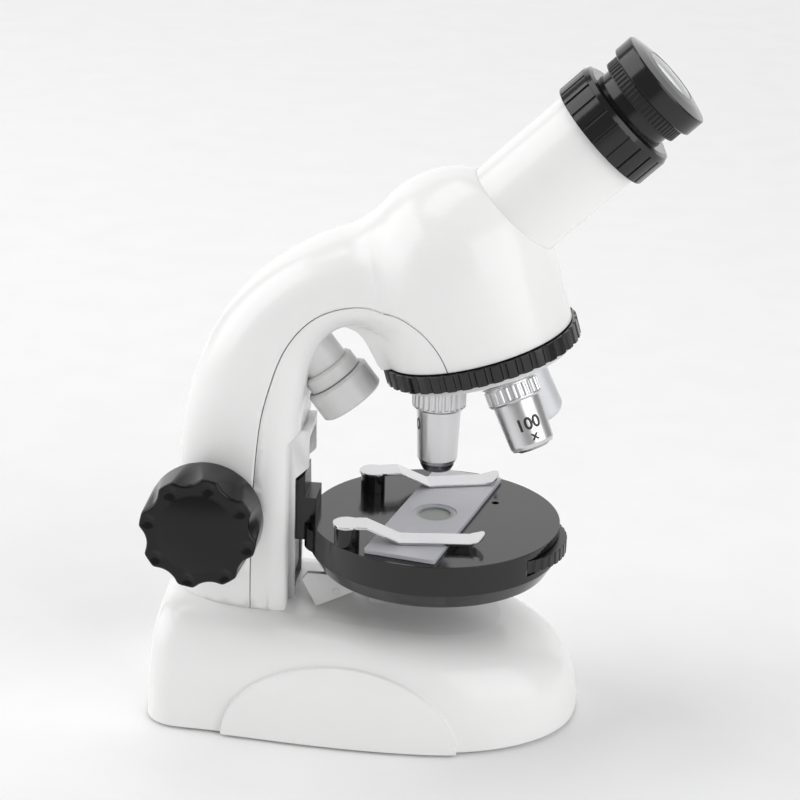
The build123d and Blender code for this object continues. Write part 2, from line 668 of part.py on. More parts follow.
def objective(collar_s, barrel_s, tip_s, top_r, low_r, tip_r, turn):
    """Collar, barrel, tip and lens of one objective, turned to its place on the turret."""
    down = objective_plane()
    collar = revolve_profile([
        (5.4, SEAT_S), (8.9, SEAT_S), (8.2, FLUTE_S - 0.5), (8.2, FLUTE_S), (8.6, FLUTE_S),
        (8.6, collar_s - 0.6), (8.0, collar_s), (5.4, collar_s),
    ], down)
    flute = Pos(8.9, 0, (FLUTE_S + collar_s - 1.0) / 2) * Cylinder(0.75, collar_s - FLUTE_S - 1.0)
    for k in range(COLLAR_FLUTES):
        collar -= down * (Rot(0, 0, 360 * k / COLLAR_FLUTES) * flute)
    barrel = revolve_profile([
        (3.6, 1.0), (5.4, 1.0), (5.4, collar_s), (top_r, collar_s), (top_r, collar_s + 1.0),
        (low_r + 0.1, barrel_s - 1.2), (low_r - 0.5, barrel_s), (3.6, barrel_s),
    ], down)
    tip = revolve_profile([
        (2.4, barrel_s), (tip_r, barrel_s), (tip_r - 0.3, (barrel_s + tip_s) / 2),
        (tip_r - 1.0, tip_s), (2.4, tip_s),
    ], down)
    lens = revolve_profile([(0, barrel_s), (2.4, barrel_s), (2.4, tip_s - 0.5), (0, tip_s - 0.2)], down)
    return [piece.rotate(TURRET_AXIS, turn) for piece in (collar, barrel, tip, lens)]


# ---------------------------------------------------------------- eyepiece and head mirror
def make_eyepiece_pieces():
    head_tube = tube(TUBE_R, TUBE_R - TUBE_WALL, -SOCKET_S - 1.5, eye_plane(SOCKET_S))
    guide_r = TUBE_R - TUBE_WALL
    collar = revolve_profile([
        (TUBE_R + FIT, -COLLAR_L), (COLLAR_R, -COLLAR_L), (COLLAR_R, -2.2), (COLLAR_R - 0.7, -0.6),
        (COLLAR_R - 2.2, 0.0), (DRAW_R + FIT, 0.0), (DRAW_R + FIT, -1.2), (TUBE_R + FIT, -1.2),
    ], eye_plane())
    groove = Pos(COLLAR_R + 0.3, 0, -COLLAR_L / 2 - 0.9) * Box(1.6, 0.9, COLLAR_L - 2.4)
    for k in range(COLLAR_RIBS):
        collar -= eye_plane() * (Rot(0, 0, 360 * k / COLLAR_RIBS) * groove)
    draw = revolve_profile([
        (DRAW_R - DRAW_WALL, -34.0), (guide_r - FIT, -34.0), (guide_r - FIT, -30.0), (DRAW_R, -29.0),
        (DRAW_R, GRIP_S0 + 1.0), (DRAW_R - DRAW_WALL, GRIP_S0 + 1.0),
    ], eye_plane())
    grip = revolve_profile([
        (DRAW_R, GRIP_S0), (GRIP_R, GRIP_S0), (GRIP_R, GRIP_S1), (DRAW_R - DRAW_WALL, GRIP_S1),
        (DRAW_R - DRAW_WALL, GRIP_S0 + 1.0), (DRAW_R, GRIP_S0 + 1.0),
    ], eye_plane())
    rib = Pos(GRIP_R + 0.1, 0, (GRIP_S0 + GRIP_S1) / 2) * Cylinder(0.5, GRIP_S1 - GRIP_S0 - 0.8)
    for k in range(60):
        grip -= eye_plane() * (Rot(0, 0, 6 * k) * rib)
    cup = revolve_profile([
        (EYE_LENS_R, GRIP_S1), (CUP_R - 0.4, GRIP_S1), (CUP_R, GRIP_S1 + 0.4), (CUP_R, CUP_S1 - 0.4),
        (CUP_R - 0.4, CUP_S1), (12.0, CUP_S1 + 1.1), (EYE_LENS_R, CUP_S1 + 1.6),
    ], eye_plane())
    lens = revolve_profile([
        (0, GRIP_S1 + 1.0), (EYE_LENS_R, GRIP_S1 + 1.0), (EYE_LENS_R, CUP_S1 + 1.5), (0, CUP_S1 + 1.9),
    ], eye_plane())
    inner_r = DRAW_R - DRAW_WALL
    field = revolve_profile([
        (0, -33.0), (8.0, -32.6), (inner_r, -31.6), (inner_r, -30.6), (8.0, -29.6), (0, -29.2),
    ], eye_plane())
    return {
        "eyepiece_tube": head_tube,
        "tube_collar": collar,
        "draw_tube": draw,
        "grip_ring": grip,
        "eye_cup": cup,
        "eye_lens": lens,
        "field_lens": field,
    }


HEAD_MIRROR_X, HEAD_MIRROR_Z = 0.0, 148.9


def make_head_mirror():
    """Mirror that turns the light from the objective up the eyepiece tube."""
    half = radians((90.0 + TUBE_TILT) / 2 - TUBE_TILT)
    bisector = radians(TUBE_TILT) - half
    plane = axis_plane(HEAD_MIRROR_X, HEAD_MIRROR_Z, cos(bisector), sin(bisector))
    glass = plane * (Pos(0, 0, -0.8) * Box(26, 20, 1.6))
    holder = plane * (Pos(0, 0, -2.6) * Box(30, 60, 2.0))
    return {"head_mirror": glass, "head_mirror_holder": holder & head_block(WALL)}


# ---------------------------------------------------------------- lamp
def make_lamp_pieces():
    stem = tube(LAMP_STEM_R, LAMP_STEM_R - 2.0, LAMP_STEM_L, lamp_plane(-LAMP_MID_L - LAMP_STEM_L))
    mid = revolve_profile([
        (LAMP_STEM_R - 2.0, -LAMP_MID_L), (LAMP_MID_R - 0.6, -LAMP_MID_L), (LAMP_MID_R, -LAMP_MID_L + 0.8),
        (LAMP_MID_R, -GAP), (6.0, -GAP), (6.0, 4.0), (LAMP_STEM_R - 2.0, 4.0),
    ], lamp_plane())
    cap = revolve_profile([
        (6.0 + FIT, 0), (LAMP_CAP_R - 0.8, 0), (LAMP_CAP_R, 0.8), (LAMP_CAP_R, LAMP_CAP_L - 0.6),
        (LAMP_CAP_R - 0.6, LAMP_CAP_L), (8.4, LAMP_CAP_L), (8.4, 4.8), (6.0 + FIT, 4.8),
    ], lamp_plane())
    lens = revolve_profile([(0, 6.8), (8.4, 6.8), (8.4, 7.8), (0, 9.0)], lamp_plane())
    led = revolve_profile([
        (0, -1.5), (5.4, -1.5), (5.4, 0.0), (2.5, 0.0), (2.5, 4.2), (1.8, 5.6), (0, 6.4),
    ], lamp_plane())
    return {"lamp_stem": stem, "lamp_body": mid, "lamp_cap": cap, "lamp_lens": lens, "lamp_led": led}


# ---------------------------------------------------------------- stage
def make_stage_pieces():
    top = STAGE_TOP_Z
    body = post(STAGE_R, 0, 0, STAGE_WALL_BOTTOM_Z, top)
    shoulder = Pos(-STAGE_R / 2 - 11.4, 0, STAGE_WALL_BOTTOM_Z) * extrude(RectangleRounded(20.0, 30.0, 9.0), 7.2)
    body += shoulder
    skirt = revolve_profile([
        (0, STAGE_BOTTOM_Z), (STAGE_BOTTOM_R, STAGE_BOTTOM_Z), (STAGE_R, STAGE_WALL_BOTTOM_Z),
        (0, STAGE_WALL_BOTTOM_Z),
    ], Plane.XY)
    body += skirt
    body -= post(STAGE_BOTTOM_R - WALL, 0, 0, STAGE_BOTTOM_Z - 1, top - PLATE_T)
    body -= post(STAGE_HOLE_R, 0, 0, top - PLATE_T, top)
    body -= post(1.2, 18.5, 14.3, top - 1.0, top)
    slot = Pos(WHEEL_X, WHEEL_Y, (WHEEL_Z0 + WHEEL_Z1) / 2) * Cylinder(WHEEL_R + 0.6, WHEEL_Z1 - WHEEL_Z0 + 1.2)
    body -= slot
    bosses = ((14.0, 28.5), (-24.0, 0.0), (-6.0, -31.5))
    for x, y in bosses:
        body += post(3.2, x, y, STAGE_BOTTOM_Z + PLATE_T, top - PLATE_T)
        body -= post(1.2, x, y, STAGE_BOTTOM_Z, STAGE_BOTTOM_Z + 10)
    floor_r = STAGE_BOTTOM_R - WALL - FIT
    floor = post(floor_r, 0, 0, STAGE_BOTTOM_Z, STAGE_BOTTOM_Z + PLATE_T)
    floor -= post(STAGE_HOLE_R + 3.0, 0, 0, STAGE_BOTTOM_Z, top)
    screws = []
    for x, y in bosses:
        floor -= post(1.2, x, y, STAGE_BOTTOM_Z, STAGE_BOTTOM_Z + PLATE_T)
        floor -= post(2.4, x, y, STAGE_BOTTOM_Z, STAGE_BOTTOM_Z + 1.2)
        screws.append(Pos(x, y, STAGE_BOTTOM_Z + 1.2) * screw(6.5, 2.4, 1.1, 1.2))
    pin = post(3.4, WHEEL_X, WHEEL_Y, WHEEL_Z1 + 0.2, top - PLATE_T)
    pin += post(2.0, WHEEL_X, WHEEL_Y, STAGE_BOTTOM_Z + PLATE_T, WHEEL_Z1 + 0.2)
    pin += post(3.4, WHEEL_X, WHEEL_Y, STAGE_BOTTOM_Z + PLATE_T, WHEEL_Z0 - 0.2)
    wheel = post(WHEEL_R, WHEEL_X, WHEEL_Y, WHEEL_Z0, WHEEL_Z1) - post(2.0 + FIT, WHEEL_X, WHEEL_Y, 50, 70)
    groove_r = WHEEL_R + 0.3
    for k in range(48):
        a = radians(7.5 * k)
        wheel -= post(0.7, WHEEL_X + groove_r * cos(a), WHEEL_Y + groove_r * sin(a), WHEEL_Z0, WHEEL_Z1)
    reach = sqrt(WHEEL_X ** 2 + WHEEL_Y ** 2)
    start = atan2(-WHEEL_Y, -WHEEL_X)
    for k, r in enumerate((4.8, 3.8, 3.0, 2.2, 1.4, 0.9)):
        a = start + radians(60 * k)
        wheel -= post(r, WHEEL_X + reach * cos(a), WHEEL_Y + reach * sin(a), WHEEL_Z0, WHEEL_Z1)
    return {
        "stage_body": body,
        "stage_floor": floor,
        "stage_floor_screws": screws,
        "wheel_pin": pin,
        "aperture_wheel": wheel,
    }


SLIDER_Z0, SLIDER_Z1 = 44.0, 83.0


def make_bracket_pieces(stage_body):
    slider = box(-57.3, -45.0, -SLIDER_HALF_W, SLIDER_HALF_W, SLIDER_Z0, SLIDER_Z1)
    slider += box(-60.4, -57.3, -3.0, 3.0, SLIDER_Z0, SLIDER_Z1)
    slider += box(-45.0, -38.0, -SLIDER_HALF_W, SLIDER_HALF_W, 57.0, 71.5)
    gusset = [(-45.0, 76.6), (-41.6, 79.8), (-41.4, 71.0), (-45.0, 71.0)]
    slider += prism_xz(gusset, -SLIDER_HALF_W, SLIDER_HALF_W)
    slider -= box(-55.0, -47.5, -4.6, 4.6, SLIDER_Z0 - 1, SLIDER_Z0 + 30)
    return {"stage_bracket": slider - stage_body, "stage_rack": make_rack(SLIDER_Z0, SLIDER_Z1)}


def slide_place():
    return Pos(0, 0, STAGE_TOP_Z + SLIDE_GAP) * Rot(0, 0, SLIDE_TURN)


def make_slide():
    blank = Pos(0, 0, SLIDE_T / 2) * Box(SLIDE_W, SLIDE_L, SLIDE_T)
    blank = fillet(blank.edges().filter_by(Axis.Z), 1.0)
    blank -= post(7.0, 0, 0, SLIDE_T - 0.4, SLIDE_T)
    blank -= post(5.0, 0, 0, 0.4, SLIDE_T)
    return slide_place() * blank


def clip(post_xy, turn, bend_start, bend_end, flat_end, length):
    """Spring strip along +X from its post: round head on a pin, a bend down to the slide and an upturned tip."""
    half_t = CLIP_T / 2
    head_z = STAGE_TOP_Z + POST_H + SLIDE_GAP + half_t
    press_z = STAGE_TOP_Z + SLIDE_GAP + SLIDE_T + 0.15 + half_t
    centre = [(-CLIP_HEAD_R, head_z), (bend_start, head_z), (bend_end, press_z), (flat_end, press_z)]
    centre += [(flat_end + 0.5 * (length - flat_end), press_z + 0.7), (length, press_z + 2.2)]
    upper = [(x, z + half_t) for x, z in centre]
    lower = [(x, z - half_t) for x, z in reversed(centre)]
    strip = prism_xz(upper + lower, -CLIP_HEAD_R, CLIP_HEAD_R)
    plan = Circle(CLIP_HEAD_R) + Pos(length / 2, 0) * RectangleRounded(length, CLIP_W, 0.49 * CLIP_W)
    strip &= Pos(0, 0, head_z - 20) * extrude(plan, 40)
    strip += post(CLIP_PIN_R, 0, 0, head_z - POST_H + 0.8, head_z)
    return Pos(post_xy[0], post_xy[1], 0) * (Rot(0, 0, turn) * strip)


def make_clip_pieces():
    posts = []
    z0, z1 = STAGE_TOP_Z, STAGE_TOP_Z + POST_H
    for x, y in (NEAR_POST, FAR_POST):
        posts.append(post(4.0, x, y, z0, z1) - post(CLIP_PIN_R + FIT, x, y, z0, z1))
    return {
        "clip_posts": posts,
        "clip_near": clip(NEAR_POST, NEAR_CLIP_TURN, 6.2, 16.8, 38.5, 43.2),
        "clip_far": clip(FAR_POST, FAR_CLIP_TURN, 8.7, 18.5, 37.0, 42.4),
    }


# ---------------------------------------------------------------- all pieces
def build_all():
    base_outer = base_block()
    pieces = {"base_shell": make_base_shell(base_outer), "base_cover": make_base_cover()}
    pieces.update(make_battery_pieces())
    feet = []
    for x, y in FEET_XY:
        feet.append(post(FOOT_R, x, y, 0.4, FOOT_PROUD + 0.7) + post(FOOT_R - 0.6, x, y, 0, 0.4))
    pieces["rubber_feet"] = feet
    case_screws = [Pos(x, y, FOOT_PROUD + SCREW_HEAD_H) * screw(10.0) for x, y in BOSS_XY]
    for x, y in COLUMN_SCREW_XY:
        case_screws.append(Pos(x, y, base_top_z(x) - WALL - 0.4) * screw(10.0))
    pieces["case_screws"] = case_screws
    pieces.update(make_light_mirror(base_outer))
    pieces.update(make_arm_pieces(base_outer))
    pieces.update(make_focus_pieces())
    pieces.update(make_turret_pieces())
    pieces["objective_lenses"] = []
    for name, *sizes in OBJECTIVES:
        collar, barrel, tip, lens = objective(*sizes)
        pieces["objective_" + name + "_collar"] = collar
        pieces["objective_" + name + "_barrel"] = barrel
        pieces["objective_" + name + "_tip"] = tip
        pieces["objective_lenses"].append(lens)
    pieces.update(make_eyepiece_pieces())
    pieces.update(make_head_mirror())
    pieces.update(make_lamp_pieces())
    pieces.update(make_stage_pieces())
    pieces.update(make_bracket_pieces(pieces["stage_body"]))
    pieces["specimen_slide"] = make_slide()
    pieces.update(make_clip_pieces())
    return pieces


def save(name, shape):
    solids = []
    for item in shape if isinstance(shape, list) else [shape]:
        solids += [solid.moved(Location((-ORIGIN_X, 0, 0))) for solid in item.solids()]
    whole = solids[0] if len(solids) == 1 else Compound(children=solids)
    whole.label = name
    export_step(whole, os.path.join("parts", name + ".step"))


def main():
    os.makedirs("parts", exist_ok=True)
    for name, shape in build_all().items():
        save(name, shape)


main()
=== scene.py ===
# Looks of the child's microscope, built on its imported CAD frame. Metres, +Z up, +X towards the eyepiece.
import json
from math import atan2, cos, pi, radians, sin, sqrt, tan

import bmesh
import bpy
from mathutils import Matrix, Vector
from mathutils.bvhtree import BVHTree


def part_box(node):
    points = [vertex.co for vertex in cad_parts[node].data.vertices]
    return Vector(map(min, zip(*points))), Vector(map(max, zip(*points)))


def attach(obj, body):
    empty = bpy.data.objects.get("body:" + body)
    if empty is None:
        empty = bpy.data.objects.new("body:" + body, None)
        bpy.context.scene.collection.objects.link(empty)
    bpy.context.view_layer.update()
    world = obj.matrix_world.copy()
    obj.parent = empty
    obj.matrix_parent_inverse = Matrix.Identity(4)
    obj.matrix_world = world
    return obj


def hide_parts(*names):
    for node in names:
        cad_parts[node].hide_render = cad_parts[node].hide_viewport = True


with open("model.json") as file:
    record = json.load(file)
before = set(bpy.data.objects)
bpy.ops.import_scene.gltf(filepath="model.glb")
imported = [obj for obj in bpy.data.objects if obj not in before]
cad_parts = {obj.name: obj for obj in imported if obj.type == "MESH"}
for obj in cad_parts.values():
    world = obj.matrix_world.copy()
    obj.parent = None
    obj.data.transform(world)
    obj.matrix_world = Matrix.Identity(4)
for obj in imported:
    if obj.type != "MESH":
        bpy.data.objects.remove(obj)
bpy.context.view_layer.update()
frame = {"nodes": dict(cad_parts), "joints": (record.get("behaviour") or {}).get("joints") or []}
nodes = frame["nodes"]
MM = 0.001
TURRET = next(joint for joint in frame["joints"] if joint["name"] == "turret_turn")


# ---------------------------------------------------------------- materials
EDGE_ROUND = 0.35 * MM            # soft corner that catches the light on moulded and turned edges
EDGE_SAMPLES = 6
GRAIN_DEPTH = 0.02 * MM
BROAD_SCALE = 35.0                # of the slow change of colour
NOISE_LOW, NOISE_HIGH = 0.3, 0.7  # middle range of the noise


def new_material(name):
    material = bpy.data.materials.new(name)
    material.use_nodes = True
    tree = material.node_tree
    tree.nodes.clear()
    output = tree.nodes.new("ShaderNodeOutputMaterial")
    shader = tree.nodes.new("ShaderNodeBsdfPrincipled")
    tree.links.new(shader.outputs["BSDF"], output.inputs["Surface"])
    return material, tree, shader


def noise(tree, scale, detail):
    """Noise over the object's own coordinates."""
    coords = tree.nodes.new("ShaderNodeTexCoord")
    texture = tree.nodes.new("ShaderNodeTexNoise")
    texture.inputs["Scale"].default_value = scale
    texture.inputs["Detail"].default_value = detail
    tree.links.new(coords.outputs["Object"], texture.inputs["Vector"])
    return texture.outputs["Fac"]


def map_range(tree, source, from_min, from_max, to_min, to_max):
    ramp = tree.nodes.new("ShaderNodeMapRange")
    ramp.inputs["From Min"].default_value = from_min
    ramp.inputs["From Max"].default_value = from_max
    ramp.inputs["To Min"].default_value = to_min
    ramp.inputs["To Max"].default_value = to_max
    tree.links.new(source, ramp.inputs["Value"])
    return ramp.outputs["Result"]


def spread(tree, source, low, high):
    """The noise's middle range, mapped to low..high."""
    return map_range(tree, source, NOISE_LOW, NOISE_HIGH, low, high)


def mix_colours(tree, factor):
    mix = tree.nodes.new("ShaderNodeMix")
    mix.data_type = "RGBA"
    tree.links.new(factor, mix.inputs["Factor"])
    return mix


def tint(tree, source, dark, light):
    mix = mix_colours(tree, source)
    mix.inputs["A"].default_value = (*dark, 1)
    mix.inputs["B"].default_value = (*light, 1)
    return mix.outputs["Result"]


def surface(name, dark, light, rough, grain, bump, **sockets):
    """Principled material whose colour, roughness and relief each follow their own noise."""
    material, tree, shader = new_material(name)
    broad = noise(tree, BROAD_SCALE, 3.0)
    fine = noise(tree, grain, 4.0)
    tree.links.new(tint(tree, spread(tree, broad, 0.0, 1.0), dark, light), shader.inputs["Base Color"])
    tree.links.new(spread(tree, fine, rough[0], rough[1]), shader.inputs["Roughness"])
    rounded = tree.nodes.new("ShaderNodeBevel")
    rounded.samples = EDGE_SAMPLES
    rounded.inputs["Radius"].default_value = EDGE_ROUND
    relief = tree.nodes.new("ShaderNodeBump")
    relief.inputs["Strength"].default_value = bump
    relief.inputs["Distance"].default_value = GRAIN_DEPTH
    tree.links.new(rounded.outputs["Normal"], relief.inputs["Normal"])
    tree.links.new(fine, relief.inputs["Height"])
    tree.links.new(relief.outputs["Normal"], shader.inputs["Normal"])
    for socket, value in sockets.items():
        shader.inputs[socket.replace("_", " ")].default_value = value
    return material


WHITE = surface("white_gloss", (0.86, 0.86, 0.855), (0.88, 0.88, 0.875), (0.18, 0.24), 900, 0.06)
BLACK = surface("black_gloss", (0.006, 0.006, 0.0065), (0.009, 0.009, 0.0095), (0.10, 0.17), 1200, 0.06)
KNOB = surface("knob_black", (0.005, 0.005, 0.0055), (0.007, 0.007, 0.0075), (0.18, 0.25), 1800, 0.08,
               Specular_IOR_Level=0.3)
BLACK_SATIN = surface("black_satin", (0.008, 0.008, 0.009), (0.013, 0.013, 0.014), (0.28, 0.38), 2400, 0.2)
GREY = surface("pale_grey", (0.70, 0.70, 0.70), (0.74, 0.74, 0.735), (0.28, 0.38), 1400, 0.12)
INNER = surface("inner_grey", (0.45, 0.46, 0.48), (0.52, 0.53, 0.55), (0.5, 0.62), 1600, 0.4)
RUBBER = surface("foot_rubber", (0.03, 0.03, 0.03), (0.05, 0.05, 0.05), (0.6, 0.75), 2200, 0.6)
CHROME = surface("chrome", (0.56, 0.56, 0.57), (0.62, 0.62, 0.63), (0.06, 0.12), 900, 0.05, Metallic=1.0)
STEEL = surface("screw_steel", (0.42, 0.42, 0.43), (0.50, 0.50, 0.51), (0.24, 0.34), 2600, 0.2, Metallic=1.0)
BRASS = surface("gear_brass", (0.68, 0.52, 0.24), (0.76, 0.60, 0.30), (0.25, 0.36), 1800, 0.3, Metallic=1.0)
MIRROR = surface("mirror_silver", (0.84, 0.86, 0.87), (0.88, 0.89, 0.90), (0.02, 0.05), 700, 0.03,
                 Metallic=1.0)
CELL = surface("cell_jacket", (0.10, 0.22, 0.14), (0.13, 0.26, 0.17), (0.22, 0.3), 1200, 0.15,
               Coat_Weight=0.4)
LENS = surface("lens_glass", (0.90, 0.94, 0.96), (0.95, 0.97, 0.98), (0.01, 0.03), 600, 0.02,
               Transmission_Weight=0.95, IOR=1.5)
LED = surface("led_resin", (0.90, 0.90, 0.78), (0.95, 0.95, 0.86), (0.08, 0.14), 900, 0.05,
              Transmission_Weight=0.6, IOR=1.5)
SILVER = surface("satin_silver", (0.66, 0.66, 0.67), (0.74, 0.74, 0.75), (0.28, 0.35), 3000, 0.05,
                 Metallic=1.0)
FROSTED = surface("frosted_silver", (0.70, 0.71, 0.74), (0.76, 0.77, 0.79), (0.4, 0.5), 3000, 0.3,
                  Metallic=0.8)
DARK_STEEL = surface("dark_steel", (0.16, 0.16, 0.165), (0.22, 0.22, 0.225), (0.22, 0.3), 2600, 0.2,
                     Metallic=1.0)
SLIDE = surface("slide_plastic", (0.66, 0.66, 0.71), (0.70, 0.70, 0.75), (0.30, 0.38), 400, 0.03,
                Transmission_Weight=0.35, IOR=1.45)
WINDOW_R, WINDOW_EDGE = 6.4 * MM, 0.9 * MM
WINDOW_SHARE = 0.85
WINDOW_COLOUR = (0.30, 0.32, 0.29)


def add_specimen_window(material):
    """Makes the slide a little greener and darker inside its round window."""
    tree = material.node_tree
    shader = next(node for node in tree.nodes if node.type == "BSDF_PRINCIPLED")
    plain = shader.inputs["Base Color"].links[0].from_socket
    low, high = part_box("specimen_slide")
    coords = tree.nodes.new("ShaderNodeTexCoord")
    away = tree.nodes.new("ShaderNodeVectorMath")
    away.operation = "DISTANCE"
    away.inputs[1].default_value = (low + high) / 2
    tree.links.new(coords.outputs["Object"], away.inputs[0])
    edge = map_range(tree, away.outputs["Value"], WINDOW_R - WINDOW_EDGE, WINDOW_R, WINDOW_SHARE, 0.0)
    mix = mix_colours(tree, edge)
    mix.inputs["B"].default_value = (*WINDOW_COLOUR, 1)
    tree.links.new(plain, mix.inputs["A"])
    tree.links.new(mix.outputs["Result"], shader.inputs["Base Color"])


add_specimen_window(SLIDE)

NODE_MATERIALS = {
    WHITE: ("base_shell", "base_cover", "battery_lid", "arm_head_shell", "arm_front_cover", "eyepiece_tube"),
    BLACK: ("focus_knob_near", "focus_knob_far", "turret_ring", "tube_collar", "draw_tube", "eye_cup",
            "stage_body", "clip_posts"),
    BLACK_SATIN: ("grip_ring", "stage_floor", "wheel_pin", "aperture_wheel", "stage_bracket", "stage_rack"),
    GREY: ("turret_plate", "lamp_stem", "lamp_body", "lamp_cap", "light_mirror_frame", "light_mirror_holder"),
    INNER: ("battery_tray", "shaft_bushes", "turret_bearing", "head_mirror_holder"),
    RUBBER: ("rubber_feet",),
    CHROME: ("clip_near", "clip_far"),
    STEEL: ("battery_lid_screw", "case_screws", "focus_shaft", "turret_pivot_screw", "stage_floor_screws",
            "battery_contacts", "objective_near_tip", "objective_far_tip"),
    BRASS: ("focus_pinion",),
    MIRROR: ("light_mirror_glass", "head_mirror"),
    CELL: ("battery_cells",),
    LENS: ("eye_lens", "field_lens", "lamp_lens", "objective_lenses"),
    LED: ("lamp_led",),
    SLIDE: ("specimen_slide",),
    SILVER: ("objective_working_collar", "objective_working_barrel", "objective_near_collar",
             "objective_near_barrel"),
    FROSTED: ("objective_far_collar", "objective_far_barrel"),
    DARK_STEEL: ("objective_working_tip",),
}


def paint(obj, material):
    obj.data.materials.clear()
    obj.data.materials.append(material)


for material, names in NODE_MATERIALS.items():
    for name in names:
        paint(nodes[name], material)


def new_object(name, mesh, material, body):
    obj = bpy.data.objects.new(name, mesh)
    bpy.context.scene.collection.objects.link(obj)
    paint(obj, material)
    for polygon in mesh.polygons:
        polygon.use_smooth = True
    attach(obj, body)
    return obj


# ---------------------------------------------------------------- focus knobs
LOBES = 8
FIRST_VALLEY = 10.5               # degrees from +X
VALLEY_R, VALLEY_OUT, VALLEY_TILT = 7.4 * MM, 5.2 * MM, 10.0
VALLEY_SOFT = 0.9 * MM            # rounds the shoulders between lobes and valleys
DIMPLE_IN, DIMPLE_R, DIMPLE_DEEP = 2.6 * MM, 2.9 * MM, 0.85 * MM
DOME_SHARE, DOME_RISE = 0.72, 1.8 * MM
BACK_ROUND, FRONT_ROUND = 0.9 * MM, 0.8 * MM
AXIS_R = 0.0005 * MM              # radius at which the rows stop, just short of the axis
DIMPLE_DEPTH = 1.0 * MM           # below the rim, as deep as the dimples reach
KNOB_COLUMNS = 384
SIDE_ROWS, RIM_ROWS, DOME_ROWS = 24, 14, 16
BACK_ARC_ROWS, FRONT_ARC_ROWS = 3, 5


def soft_min(a, b, reach):
    share = max(reach - abs(a - b), 0.0) / reach
    return min(a, b) - share * share * reach / 4


def knob_radius(r, below_front, angle):
    """Distance from the axis to the lobed side, at a depth below the front face."""
    pitch = 2 * pi / LOBES
    from_valley = (angle - radians(FIRST_VALLEY) + pitch / 2) % pitch - pitch / 2
    centre = r + VALLEY_OUT + below_front * tan(radians(VALLEY_TILT))
    reach = VALLEY_R ** 2 - (centre * sin(from_valley)) ** 2
    valley = centre * cos(from_valley) - sqrt(max(reach, 0.0))
    return soft_min(r, valley, VALLEY_SOFT)


def knob_dent(r, x, z):
    """Depth of the shallow dimple on the crown of each lobe."""
    pitch = 2 * pi / LOBES
    angle = atan2(z, x)
    crown = round((angle - radians(FIRST_VALLEY)) / pitch - 0.5) + 0.5
    crown_angle = radians(FIRST_VALLEY) + crown * pitch
    centre = r - DIMPLE_IN
    away = sqrt((x - centre * cos(crown_angle)) ** 2 + (z - centre * sin(crown_angle)) ** 2) / DIMPLE_R
    return DIMPLE_DEEP * (1 - away * away) ** 2 if away < 1 else 0.0


def knob_rows(depth):
    """(height, kind, amount) of every ring of the knob's surface, from the back to the dome's middle."""
    rim = depth - DOME_RISE
    straight = rim - BACK_ROUND - FRONT_ROUND
    rows = [(0.0, "pull", 1.0), (0.0, "side", BACK_ROUND)]
    for k in range(1, BACK_ARC_ROWS + 1):
        turn = pi / 2 * k / BACK_ARC_ROWS
        rows.append((BACK_ROUND * (1 - cos(turn)), "side", BACK_ROUND * (1 - sin(turn))))
    for k in range(1, SIDE_ROWS + 1):
        rows.append((BACK_ROUND + straight * k / SIDE_ROWS, "side", 0.0))
    for k in range(1, FRONT_ARC_ROWS + 1):
        turn = pi / 2 * k / FRONT_ARC_ROWS
        rows.append((rim - FRONT_ROUND * (1 - sin(turn)), "side", FRONT_ROUND * (1 - cos(turn))))
    rows += [(rim, "rim", k / RIM_ROWS) for k in range(1, RIM_ROWS + 1)]
    rows += [(rim, "dome", 1 - k / DOME_ROWS) for k in range(1, DOME_ROWS + 1)]
    return rows


def make_knob(node):
    low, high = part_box(node)
    side = 1 if low.y > 0 else -1
    centre = Vector(((low.x + high.x) / 2, low.y if side > 0 else high.y, (low.z + high.z) / 2))
    r, depth = (high.x - low.x) / 2, high.y - low.y
    rim = depth - DOME_RISE
    dome_r = DOME_SHARE * r
    sphere_r = (dome_r ** 2 + DOME_RISE ** 2) / (2 * DOME_RISE)
    vertices, faces = [], []
    rows = knob_rows(depth)
    for height, kind, amount in rows:
        for k in range(KNOB_COLUMNS):
            angle = 2 * pi * k / KNOB_COLUMNS
            edge = knob_radius(r, rim - min(height, rim), angle)
            out, up = edge - amount, height
            if kind == "pull":
                out = AXIS_R
            if kind == "rim":
                front = edge - FRONT_ROUND
                out = front + (dome_r - front) * amount
            if kind == "dome":
                out = max(dome_r * amount, AXIS_R)
                up = rim + DOME_RISE - sphere_r + sqrt(sphere_r ** 2 - out ** 2)
            x, z = out * cos(angle), out * sin(angle)
            if kind != "pull" and height > rim - DIMPLE_DEPTH:
                up -= knob_dent(r, x, z)
            vertices.append(centre + Vector((x, side * up, z)))
    for row in range(len(rows) - 1):
        for k in range(KNOB_COLUMNS):
            after = (k + 1) % KNOB_COLUMNS
            a, b = row * KNOB_COLUMNS + k, row * KNOB_COLUMNS + after
            quad = (a, b, b + KNOB_COLUMNS, a + KNOB_COLUMNS)
            faces.append(quad if side < 0 else quad[::-1])
    mesh = bpy.data.meshes.new(node + "_shape")
    mesh.from_pydata(vertices, [], faces)
    obj = new_object(node + "_lobed", mesh, KNOB, "focus_drive")
    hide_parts(node)


# ---------------------------------------------------------------- blend between arm and head
HEAD_RADIUS = 30.0 * MM
HEAD_DOME_HEIGHT = 31.0 * MM      # centre of the dome, along the turret's axis
BLEND_REACH = 8.0 * MM           # how far either side of the corner the fillet runs
BLEND_START, BLEND_FULL = 6.5 * MM, 15.0 * MM       # fades in above the turret's ring
BLEND_FRONT = 11.0 * MM           # how far past the turret's axis the fillet may run
FINE_EDGE = 1.0 * MM
MAX_SPLITS = 7
ON_DRUM = 0.05 * MM               # nearer than this to the drum counts as on it
WELD, TINY_EDGE = 0.002 * MM, 0.001 * MM
SKIN_LIFT, SKIN_GAP = 0.02 * MM, 2.0 * MM           # a face with nothing this close outside it is outer skin
SHARP_ANGLE = 32


